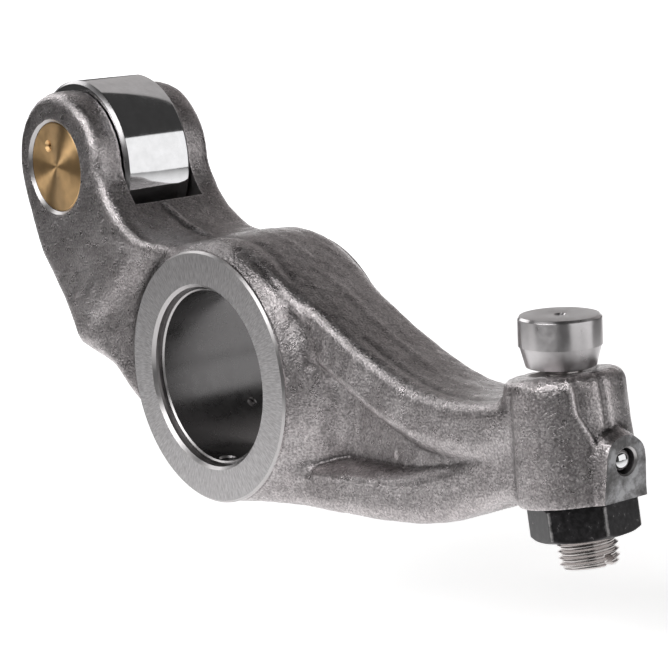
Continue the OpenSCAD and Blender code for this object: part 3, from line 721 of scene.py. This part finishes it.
def in_mm(tree):
    """Object coordinates in millimetres."""
    place = tree.nodes.new("ShaderNodeTexCoord").outputs["Object"]
    return vector_math(tree, "MULTIPLY", place, (PER_METRE,) * 3).outputs[0]


def noise(tree, vector, scale, detail, rough):
    """Grey noise, its scale in waves per unit of the vector."""
    node = tree.nodes.new("ShaderNodeTexNoise")
    node.inputs["Scale"].default_value = scale
    node.inputs["Detail"].default_value = detail
    node.inputs["Roughness"].default_value = rough
    tree.links.new(vector, node.inputs["Vector"])
    return node.outputs["Fac"]


def ramp(tree, fac, stops):
    """Colour ramp of (place, colour) stops."""
    node = tree.nodes.new("ShaderNodeValToRGB")
    elements = node.color_ramp.elements
    while len(elements) < len(stops):
        elements.new(0.5)
    for element, (place, value) in zip(elements, stops):
        element.position = place
        element.color = (*value, 1)
    tree.links.new(fac, node.inputs["Fac"])
    return node.outputs["Color"]


def grey(v):
    """A colour without a tint."""
    return (v, v, v)


def mixed(tree, fac, a, b, kind="MIX"):
    """Two colours blended by a share."""
    node = tree.nodes.new("ShaderNodeMix")
    node.data_type = "RGBA"
    node.blend_type = kind
    for place, value in ((0, fac), (6, a), (7, b)):
        feed(tree, node.inputs[place], value)
    return node.outputs[2]


def bump(tree, height, strength, distance_mm, under=None):
    """Normal of a relief, which may lie on another relief."""
    node = tree.nodes.new("ShaderNodeBump")
    node.inputs["Strength"].default_value = strength
    node.inputs["Distance"].default_value = distance_mm * MM
    tree.links.new(height, node.inputs["Height"])
    if under is not None:
        tree.links.new(under, node.inputs["Normal"])
    return node.outputs["Normal"]


def radius_from(tree, vector, centre, axis):
    """Distance in millimetres from a line through a centre along one axis."""
    moved = vector_math(tree, "SUBTRACT", vector, centre).outputs[0]
    flat = vector_math(tree, "MULTIPLY", moved, tuple(0 if k == axis else 1 for k in range(3))).outputs[0]
    return vector_math(tree, "LENGTH", flat).outputs["Value"]


def forged_material():
    """Shot-blasted forging skin: grey steel with a sandy grain, with painted highlights on the ridges and painted
    shade in the valleys, partly standing for wear.
    """
    mat, tree, shader = principled("forged_skin", (0.42, 0.395, 0.395), 1.0, 0.5)
    vector = in_mm(tree)
    grain = noise(tree, vector, 2.1, 3, 0.62)
    cloud = noise(tree, vector, 0.11, 3, 0.55)
    patch = noise(tree, vector, 0.42, 2, 0.5)
    base = ramp(tree, cloud, [(0.33, (0.34, 0.315, 0.317)), (0.66, (0.42, 0.395, 0.398))])
    speck = ramp(tree, grain, [(0.36, grey(0.58)), (0.50, grey(0.95)), (0.66, grey(1.5))])
    color = mixed(tree, 0.85, base, speck, "MULTIPLY")
    # Painted shade in the hollows and painted highlights on the ridges, taken from the curvature of the mesh: partly
    # wear, partly painted light
    curve = tree.nodes.new("ShaderNodeNewGeometry").outputs["Pointiness"]
    painted_light_and_wear = ramp(tree, curve, [(0.475, grey(0.55)), (0.498, grey(0.95)), (0.525, grey(1.6))])
    color = mixed(tree, 1.0, color, painted_light_and_wear, "MULTIPLY")
    tree.links.new(color, shader.inputs["Base Color"])
    rough = ramp(tree, patch, [(0.3, grey(0.25)), (0.7, grey(0.35))])
    tree.links.new(rough, shader.inputs["Roughness"])
    fine = bump(tree, grain, 1.0, 0.18)
    coarse = bump(tree, patch, 0.35, 0.25, fine)
    tree.links.new(coarse, shader.inputs["Normal"])
    return mat


def turned_material():
    """Turned face: fine marks that run outwards from the bore, with some blasted grain left."""
    mat, tree, shader = principled("turned_face", (0.5, 0.48, 0.46), 1.0, 0.43)
    vector = in_mm(tree)
    radius = radius_from(tree, vector, (0, 0, 0), 1)
    parts = tree.nodes.new("ShaderNodeSeparateXYZ")
    tree.links.new(vector, parts.inputs[0])
    angle = value_math(tree, "ARCTAN2", parts.outputs[2], parts.outputs[0])
    polar = tree.nodes.new("ShaderNodeCombineXYZ")
    tree.links.new(value_math(tree, "MULTIPLY", angle, (BORE + BARREL) / 2 * 3.4), polar.inputs[0])
    tree.links.new(value_math(tree, "MULTIPLY", radius, 0.55), polar.inputs[1])
    marks = noise(tree, polar.outputs[0], 1.0, 3, 0.62)
    grain = noise(tree, vector, 2.2, 3, 0.6)
    base = ramp(tree, marks, [(0.36, (0.45, 0.435, 0.44)), (0.64, (0.68, 0.665, 0.67))])
    tree.links.new(base, shader.inputs["Base Color"])
    fine = bump(tree, marks, 0.30, 0.06)
    tree.links.new(bump(tree, grain, 0.20, 0.08, fine), shader.inputs["Normal"])
    return mat


def value_vector(tree, value):
    """A vector with one value along X."""
    node = tree.nodes.new("ShaderNodeCombineXYZ")
    tree.links.new(value, node.inputs[0])
    return node.outputs[0]


def steel_material(name, color, roughness, ring_scale=None, centre=(0, 0, 0), axis=1, anisotropy=0.0, strength=0.1):
    """Machined metal. With a ring scale it has fine tool marks round an axis through a centre."""
    mat, tree, shader = principled(name, color, 1.0, roughness)
    vector = in_mm(tree)
    smear = noise(tree, vector, 0.35, 3, 0.6)
    rough = ramp(tree, smear, [(0.3, grey(roughness * 0.85)), (0.7, grey(roughness * 1.2))])
    tree.links.new(rough, shader.inputs["Roughness"])
    darker = tuple(c * 0.93 for c in color)
    lighter = tuple(c * 1.05 for c in color)
    tree.links.new(ramp(tree, smear, [(0.3, darker), (0.7, lighter)]), shader.inputs["Base Color"])
    if ring_scale:
        marks = noise(tree, value_vector(tree, radius_from(tree, vector, centre, axis)), ring_scale, 3, 0.6)
        tree.links.new(bump(tree, marks, strength, 0.04), shader.inputs["Normal"])
    if anisotropy:
        shader.inputs["Anisotropic"].default_value = anisotropy
        shader.inputs["Anisotropic Rotation"].default_value = 0.25
        tangent = tree.nodes.new("ShaderNodeTangent")
        tangent.direction_type = "RADIAL"
        tangent.axis = "XYZ"[axis]
        tree.links.new(tangent.outputs[0], shader.inputs["Tangent"])
    return mat


def lug_material():
    """Ground end of the lug: fine slanting scratches and dull stains."""
    mat, tree, shader = principled("ground_lug", (0.33, 0.33, 0.34), 1.0, 0.40)
    vector = in_mm(tree)
    stain = noise(tree, vector, 0.32, 4, 0.65)
    color = ramp(tree, stain, [(0.38, (0.13, 0.127, 0.127)), (0.50, (0.22, 0.217, 0.22)),
                               (0.64, (0.40, 0.40, 0.41))])
    tree.links.new(color, shader.inputs["Base Color"])
    rough = ramp(tree, stain, [(0.35, grey(0.50)), (0.65, grey(0.34))])
    tree.links.new(rough, shader.inputs["Roughness"])
    stretched = vector_math(tree, "MULTIPLY", vector, (1, 4.5, 0.5)).outputs[0]
    scratches = noise(tree, stretched, 1.2, 3, 0.7)
    pits = bump(tree, noise(tree, vector, 1.1, 3, 0.6), 0.5, 0.10)
    tree.links.new(bump(tree, scratches, 0.6, 0.05, pits), shader.inputs["Normal"])
    return mat


def oxide_material():
    """Black oxide with small light specks, worn bright along the corners."""
    mat, tree, shader = principled("black_oxide", (0.06, 0.058, 0.06), 0.8, 0.40)
    vector = in_mm(tree)
    wear = noise(tree, vector, 0.9, 4, 0.7)
    color = ramp(tree, wear, [(0.42, (0.034, 0.033, 0.034)), (0.64, (0.055, 0.053, 0.056)),
                              (0.73, (0.26, 0.25, 0.25))])
    radius = radius_from(tree, vector, (SCREW_X, 0, 0), 2)
    corner = value_math(tree, "MULTIPLY", value_math(tree, "SUBTRACT", radius, CORNER - 0.36), 3.4)
    corner = value_math(tree, "MULTIPLY", corner, wear)
    edge = ramp(tree, corner, [(0.16, grey(0)), (0.50, grey(1))])
    color = mixed(tree, edge, color, (0.42, 0.41, 0.41, 1))
    tree.links.new(color, shader.inputs["Base Color"])
    rough = ramp(tree, wear, [(0.35, grey(0.30)), (0.7, grey(0.48))])
    tree.links.new(rough, shader.inputs["Roughness"])
    tree.links.new(bump(tree, noise(tree, vector, 1.6, 3, 0.6), 0.25, 0.06), shader.inputs["Normal"])
    return mat


# Kinds of faces of the forging, each with its material
SKIN, TURNED, BORED, MILLED, GROUND, BEVEL = range(6)
skins = [
    forged_material(), turned_material(), steel_material("bored_wall", (0.20, 0.19, 0.19), 0.30),
    steel_material("milled_wall", (0.42, 0.40, 0.40), 0.36), lug_material(),
    steel_material("bright_bevel", (0.50, 0.485, 0.485), 0.34)]
for mat in skins:
    forging.data.materials.append(mat)
polygons = forging.data.polygons
centres = vectors(polygons, "center") * PER_METRE
facing = vectors(polygons, "normal")
cx, cy, cz = centres.T
r_bore = np.hypot(cx, cz)
r_pin = np.hypot(cx - PIN.x, cz - PIN.z)
r_screw = np.hypot(cx - SCREW_X, cy)
along, across = gallery_frame(cx, cz)
r_gallery = np.hypot(across, cy)
outwards = facing @ np.array([math.cos(GALLERY_FALL), 0, -math.sin(GALLERY_FALL)])
sloping = np.abs(facing[:, 1]) < 0.9
TOUCH = 0.02
OVER = 0.05
BESIDE_MOUTH = HOLE_BEVEL + TOUCH
# A later rule overrides an earlier one
kind = np.full(len(polygons), SKIN, np.int32)
kind[(np.abs(np.abs(cy) - BARREL_HALF) < TOUCH) & (r_bore < BARREL)] = TURNED
kind[(np.abs(cy) > BARREL_HALF - BARREL_BEVEL - TOUCH) & (r_bore > BARREL - BARREL_BEVEL - TOUCH)
     & (r_bore < BARREL + TOUCH) & sloping] = BEVEL
kind[(r_bore < BORE + HOLE_BEVEL + OVER) & (np.abs(cy) > BARREL_HALF - BESIDE_MOUTH) & sloping] = BEVEL
kind[r_bore < BORE + TOUCH] = MILLED
kind[(r_pin < SLOT_RADIUS + TOUCH) & (np.abs(np.abs(cy) - SLOT_HALF) < TOUCH)] = MILLED
kind[(np.abs(r_pin - SLOT_RADIUS) < TOUCH) & (np.abs(cy) < SLOT_HALF + TOUCH)] = MILLED
kind[(r_pin < PIN_RADIUS + HOLE_BEVEL + OVER) & (np.abs(cy) > EAR_HALF - BESIDE_MOUTH) & sloping] = BEVEL
kind[(r_pin < PIN_RADIUS + TOUCH) & (np.abs(cy) > SLOT_HALF + OVER)] = BORED
kind[(np.abs(cz - BOSS_SEAT) < TOUCH) & (facing[:, 2] < -0.99) & (r_screw < SEAT_RADIUS + 0.1)] = MILLED
kind[r_screw < SCREW_HOLE + TOUCH] = BORED
kind[(r_screw < SCREW_HOLE + 1.1) & (cz > BOSS_TOP - 1.05)] = MILLED
kind[(np.abs(along) < TOUCH) & (outwards > 0.99)] = GROUND
kind[(r_gallery < PLUG + PLUG_BEVEL + OVER) & (cx > 105) & (along > -5.1) & (outwards < 0.99)] = BORED
kind[(r_gallery > PLUG - 0.1) & (r_gallery < PLUG + PLUG_BEVEL + OVER) & (along > -PLUG_BEVEL)
     & (np.abs(outwards - 0.7) < 0.2)] = BEVEL
polygons.foreach_set("material_index", kind)
# The forged skin is smooth all over, and edges are sharp only where a machined face begins or turns
bm = bmesh.new()
bm.from_mesh(forging.data)
for edge in bm.edges:
    kinds = [face.material_index for face in edge.link_faces]
    edge.smooth = len(set(kinds)) == 1 and (kinds[0] == SKIN or edge.calc_face_angle(0) < math.radians(30))
bm.to_mesh(forging.data)
bm.free()

liner.data.materials.append(steel_material("liner_bore", (0.17, 0.165, 0.166), 0.28))
liner.data.materials.append(skins[BEVEL])
for polygon in liner.data.polygons:
    out = math.hypot(polygon.center.x, polygon.center.z) * PER_METRE
    if LINER + TOUCH < out < LINER + LINER_BEVEL + 0.1 and abs(polygon.normal.y) < 0.9:
        polygon.material_index = 1
roller.data.materials.append(steel_material("roller_steel", (0.78, 0.78, 0.79), 0.07))
pin.data.materials.append(steel_material("turned_bronze", (0.80, 0.53, 0.265), 0.40, 3.0, tuple(PIN), 1, 0.95, 0.08))
screw.data.materials.append(steel_material("thread_steel", (0.58, 0.55, 0.54), 0.20))
foot.data.materials.append(steel_material("foot_steel", (0.65, 0.63, 0.635), 0.31, 2.5, tuple(BALL), 2, 0.85, 0.06))
nut.data.materials.append(oxide_material())
# The bevels of the roller and the end of the foot are ground less finely than their bands
for obj, axis, low, high, mat in (
        (roller, Vector((0, 1, 0)), 0.3, 0.95, steel_material("roller_bevel", (0.46, 0.45, 0.455), 0.30)),
        (foot, Vector((math.sin(FOOT_LEAN), 0, math.cos(FOOT_LEAN))), 0.97, 2,
         steel_material("foot_end", (0.50, 0.485, 0.49), 0.36, 1.2, tuple(BALL), 2, 0.3, 0.10))):
    obj.data.materials.append(mat)
    for polygon in obj.data.polygons:
        if low < abs(polygon.normal.dot(axis)) < high:
            polygon.material_index = 1
plug.data.materials.append(steel_material("ball_steel", (0.80, 0.80, 0.81), 0.08))
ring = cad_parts["foot_retainer"]
ring.data.materials.clear()
ring.data.materials.append(steel_material("spring_wire", (0.40, 0.40, 0.41), 0.35))

for piece, body, node, slot in (
        (forging, "arm", "rocker_arm", "forging"), (liner, "arm", "shaft_bushing", "liner"),
        (roller, "roller", "roller", "roller"), (pin, "arm", "roller_pin", "pin"),
        (screw, "screw", "adjusting_screw", "screw"), (foot, "foot", "swivel_foot", "foot"),
        (nut, "nut", "lock_nut", "nut"), (plug, "arm", "gallery_ball", "plug")):
    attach(piece, body)
    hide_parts(node)

# Camera at the viewing angle of the picture
AZIMUTH, ELEVATION, ROLL = (math.radians(v) for v in (52.48, 3.842, 8.23))
CAMERA_PLACE = (0.4509, -0.3252, 0.0421)
LENS = 134.6
back = Vector((math.sin(AZIMUTH) * math.cos(ELEVATION), -math.cos(AZIMUTH) * math.cos(ELEVATION),
               math.sin(ELEVATION)))
right = Vector((math.cos(AZIMUTH), math.sin(AZIMUTH), 0))
up = back.cross(right)
turned_right = right * math.cos(ROLL) - up * math.sin(ROLL)
turned_up = right * math.sin(ROLL) + up * math.cos(ROLL)
camera_data = bpy.data.cameras.new("camera")
camera_data.sensor_width = 36
camera_data.lens = LENS
camera_data.clip_start = 0.01
camera = bpy.data.objects.new("camera", camera_data)
bpy.context.scene.collection.objects.link(camera)
basis = Matrix((turned_right, turned_up, back)).transposed().to_4x4()
camera.matrix_world = Matrix.Translation(CAMERA_PLACE) @ basis
bpy.context.scene.camera = camera


# Five soft lamps round the middle of the part
MIDDLE = Vector((0.03, 0, 0.01))
FACING = math.atan2(back.y, back.x)


def softbox(name, azimuth, elevation, distance, size, level, color=(1, 1, 1)):
    """Soft area lamp. Azimuth is counted from the camera to its right, level is the brightness of its face."""
    a, e = FACING + math.radians(azimuth), math.radians(elevation)
    away = Vector((math.cos(a) * math.cos(e), math.sin(a) * math.cos(e), math.sin(e)))
    data = bpy.data.lights.new(name, "AREA")
    data.shape = "RECTANGLE"
    data.size, data.size_y = size
    data.energy = level * math.pi * size[0] * size[1]
    data.color = color
    obj = bpy.data.objects.new(name, data)
    bpy.context.scene.collection.objects.link(obj)
    turn = away.to_track_quat("Z", "Y").to_matrix().to_4x4()
    obj.matrix_world = Matrix.Translation(MIDDLE + away * distance) @ turn


softbox("right_box", 54, 2, 1.1, (1.45, 0.95), 1.05)
softbox("key_box", -42, 36, 1.1, (0.95, 0.6), 3.6)
softbox("left_box", -86, 4, 1.1, (0.45, 0.6), 0.35, (1.0, 0.98, 0.97))
softbox("top_box", -140, 40, 1.1, (0.75, 0.5), 2.2)
softbox("back_box", 152, 36, 1.2, (1.35, 0.95), 0.40, (1.0, 0.96, 0.95))

world = bpy.data.worlds.new("studio")
bpy.context.scene.world = world
world.use_nodes = True
background = world.node_tree.nodes["Background"]
background.inputs["Color"].default_value = (1, 0.985, 0.98, 1)
background.inputs["Strength"].default_value = 0.05

# Pale floor below the object, and a low pale sheet behind it
ahead = Vector((back.x, back.y, 0)).normalized()
beside = Vector((-ahead.y, ahead.x, 0))
FLOOR = -0.06
SHEET = -1.05


def on_floor(forward, sideways, height=FLOOR):
    """A place counted towards the camera and sideways."""
    return ahead * forward + beside * sideways + Vector((0, 0, height))


def pale_material(name):
    """Pale matt sheet that looks white to the camera and in reflections, and keeps shadows."""
    mat, tree, shader = principled(name, (0.9, 0.9, 0.9), 0.0, 0.95)
    shader.inputs["Specular IOR Level"].default_value = 0
    shader.inputs["Emission Color"].default_value = (1, 1, 1, 1)
    path = tree.nodes.new("ShaderNodeLightPath")
    seen = value_math(tree, "MAXIMUM", path.outputs["Is Camera Ray"], path.outputs["Is Glossy Ray"])
    return mat, tree, shader, value_math(tree, "MAXIMUM", seen, path.outputs["Is Transmission Ray"])


def floor_material():
    """White pool under the object and behind it, which fades into a dark floor to the sides and in front."""
    mat, tree, shader, seen = pale_material("pale_floor")
    place = tree.nodes.new("ShaderNodeTexCoord").outputs["Object"]
    depth = vector_math(tree, "DOT_PRODUCT", place, ahead).outputs["Value"]
    side = vector_math(tree, "DOT_PRODUCT", place, beside).outputs["Value"]
    width = value_math(tree, "SUBTRACT", 0.22, value_math(tree, "MULTIPLY", depth, 0.30))
    aside = value_math(tree, "ABSOLUTE", value_math(tree, "DIVIDE", value_math(tree, "ADD", side, 0.09), width))
    aside = ramp(tree, value_math(tree, "MULTIPLY", aside, 0.25),
                 [(0.25, grey(1)), (0.32, grey(0.72)), (0.48, grey(0))])
    front = ramp(tree, value_math(tree, "ADD", depth, 0.5), [(0.61, grey(1)), (0.64, grey(0.6)), (0.69, grey(0))])
    pool = value_math(tree, "MULTIPLY", aside, front)
    glow = ramp(tree, value_math(tree, "MULTIPLY", depth, -1), [(0.1, grey(0.66)), (0.9, grey(0.88))])
    strength = value_math(tree, "MULTIPLY", seen, value_math(tree, "MULTIPLY", pool, glow))
    tree.links.new(strength, shader.inputs["Emission Strength"])
    tree.links.new(mixed(tree, pool, (0.10, 0.10, 0.10, 1), (0.9, 0.9, 0.9, 1)), shader.inputs["Base Color"])
    return mat


def sheet_material():
    """Backdrop that looks almost white."""
    mat, tree, shader, seen = pale_material("pale_backdrop")
    tree.links.new(value_math(tree, "MULTIPLY", seen, 0.96), shader.inputs["Emission Strength"])
    return mat


floor = new_object("floor", [on_floor(0.2, -0.9), on_floor(0.2, 0.22), on_floor(-0.25, 0.32), on_floor(SHEET, 0.9),
                             on_floor(SHEET, -1.3)], [(0, 1, 2, 3, 4)])
floor.data.materials.append(floor_material())
sheet = new_object("backdrop", [on_floor(SHEET, -0.6), on_floor(SHEET, 0.6), on_floor(SHEET, 0.6, 0.34),
                                on_floor(SHEET, -0.6, 0.34)], [(0, 1, 2, 3)])
sheet.data.materials.append(sheet_material())

scene = bpy.context.scene
scene.view_settings.view_transform = "Standard"
